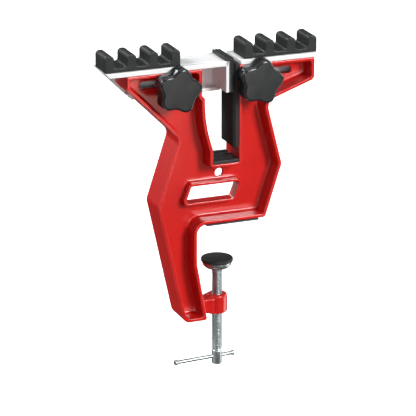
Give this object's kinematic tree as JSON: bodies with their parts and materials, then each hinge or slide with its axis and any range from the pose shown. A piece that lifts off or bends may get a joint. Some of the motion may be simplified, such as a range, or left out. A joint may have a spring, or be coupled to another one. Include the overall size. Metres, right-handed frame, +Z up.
{
  "type": "bench-clamp ski vise",
  "caption": "Red cast bench-clamp ski vise with a notched body, sliding jaw, ridged rubber supports, star knobs and a screw clamp.",
  "frame": {"origin": "on the clamp screw's axis, on the underside of the bench pad, at mid depth of the casting", "axes": "+X along the two arms towards the right arm, -Y towards the front with the star knobs, +Z up along the clamp screw"},
  "size_m": [0.2035, 0.0566, 0.3113],
  "materials": {
    "red_casting": "glossy red powder coat on a die casting",
    "white_profile": "smooth white coat on an extruded profile",
    "black_rubber": "matte black moulded rubber",
    "black_plastic": "glossy moulded sides and a satin face",
    "zinc_steel": "bright zinc plate",
    "brass": "turned brass"
  },
  "bodies": {
    "frame": {"frame_casting": "red_casting", "notch_wall_pad": "black_rubber", "notch_floor_pad": "black_rubber", "bench_pad": "black_rubber"},
    "left_slider": {"left_slider": "white_profile", "left_jaw_pad": "black_rubber", "left_comb": "black_rubber", "left_comb_screw_1": "zinc_steel", "left_comb_screw_2": "zinc_steel", "left_clamp_bolt": "zinc_steel"},
    "left_washer": {"left_washer": "zinc_steel"},
    "left_knob": {"left_knob": "black_plastic", "left_knob_insert": "brass"},
    "right_slider": {"right_slider": "white_profile", "right_comb": "black_rubber", "right_comb_screw_1": "zinc_steel", "right_comb_screw_2": "zinc_steel", "right_clamp_bolt": "zinc_steel"},
    "right_washer": {"right_washer": "zinc_steel"},
    "right_knob": {"right_knob": "black_plastic", "right_knob_insert": "brass"},
    "swivel_pad": {"swivel_cup": "zinc_steel", "swivel_cap": "black_rubber"},
    "clamp_screw": {"clamp_screw": "zinc_steel"},
    "tommy_bar": {"tommy_bar": "zinc_steel"}
  },
  "joints": [
    {"name": "left_slider_slide", "type": "slide", "parent": "frame", "child": "left_slider", "axis": [-1, 0, 0], "range_m": [0, 0.022]},
    {"name": "left_knob_travel", "type": "slide", "parent": "left_slider", "child": "left_washer", "axis": [0, 1, 0], "range_m": [-0.002, 0]},
    {"name": "left_knob_turn", "type": "hinge", "parent": "left_washer", "child": "left_knob", "pos_m": [-0.0475, -0.0255, 0.135], "axis": [0, 1, 0], "range_deg": [-720, 0]},
    {"name": "right_slider_slide", "type": "slide", "parent": "frame", "child": "right_slider", "axis": [1, 0, 0], "range_m": [0, 0.035]},
    {"name": "right_knob_travel", "type": "slide", "parent": "right_slider", "child": "right_washer", "axis": [0, 1, 0], "range_m": [-0.002, 0]},
    {"name": "right_knob_turn", "type": "hinge", "parent": "right_washer", "child": "right_knob", "pos_m": [0.031, -0.0255, 0.135], "axis": [0, 1, 0], "range_deg": [-720, 0]},
    {"name": "clamp_travel", "type": "slide", "parent": "frame", "child": "swivel_pad", "axis": [0, 0, 1], "range_m": [-0.024, 0.033]},
    {"name": "clamp_turn", "type": "hinge", "parent": "swivel_pad", "child": "clamp_screw", "pos_m": [0, 0, -0.09], "axis": [0, 0, 1], "range_deg": [-5760, 7920]},
    {"name": "tommy_bar_slide", "type": "slide", "parent": "clamp_screw", "child": "tommy_bar", "axis": [0.9976, 0.0698, 0], "range_m": [-0.009, 0.035]}
  ],
  "couplings": [
    {"joint": "left_knob_turn", "follows": "left_knob_travel", "rad_per_m": 6283.2},
    {"joint": "right_knob_turn", "follows": "right_knob_travel", "rad_per_m": 6283.2},
    {"joint": "clamp_turn", "follows": "clamp_travel", "rad_per_m": 4188.8}
  ]
}
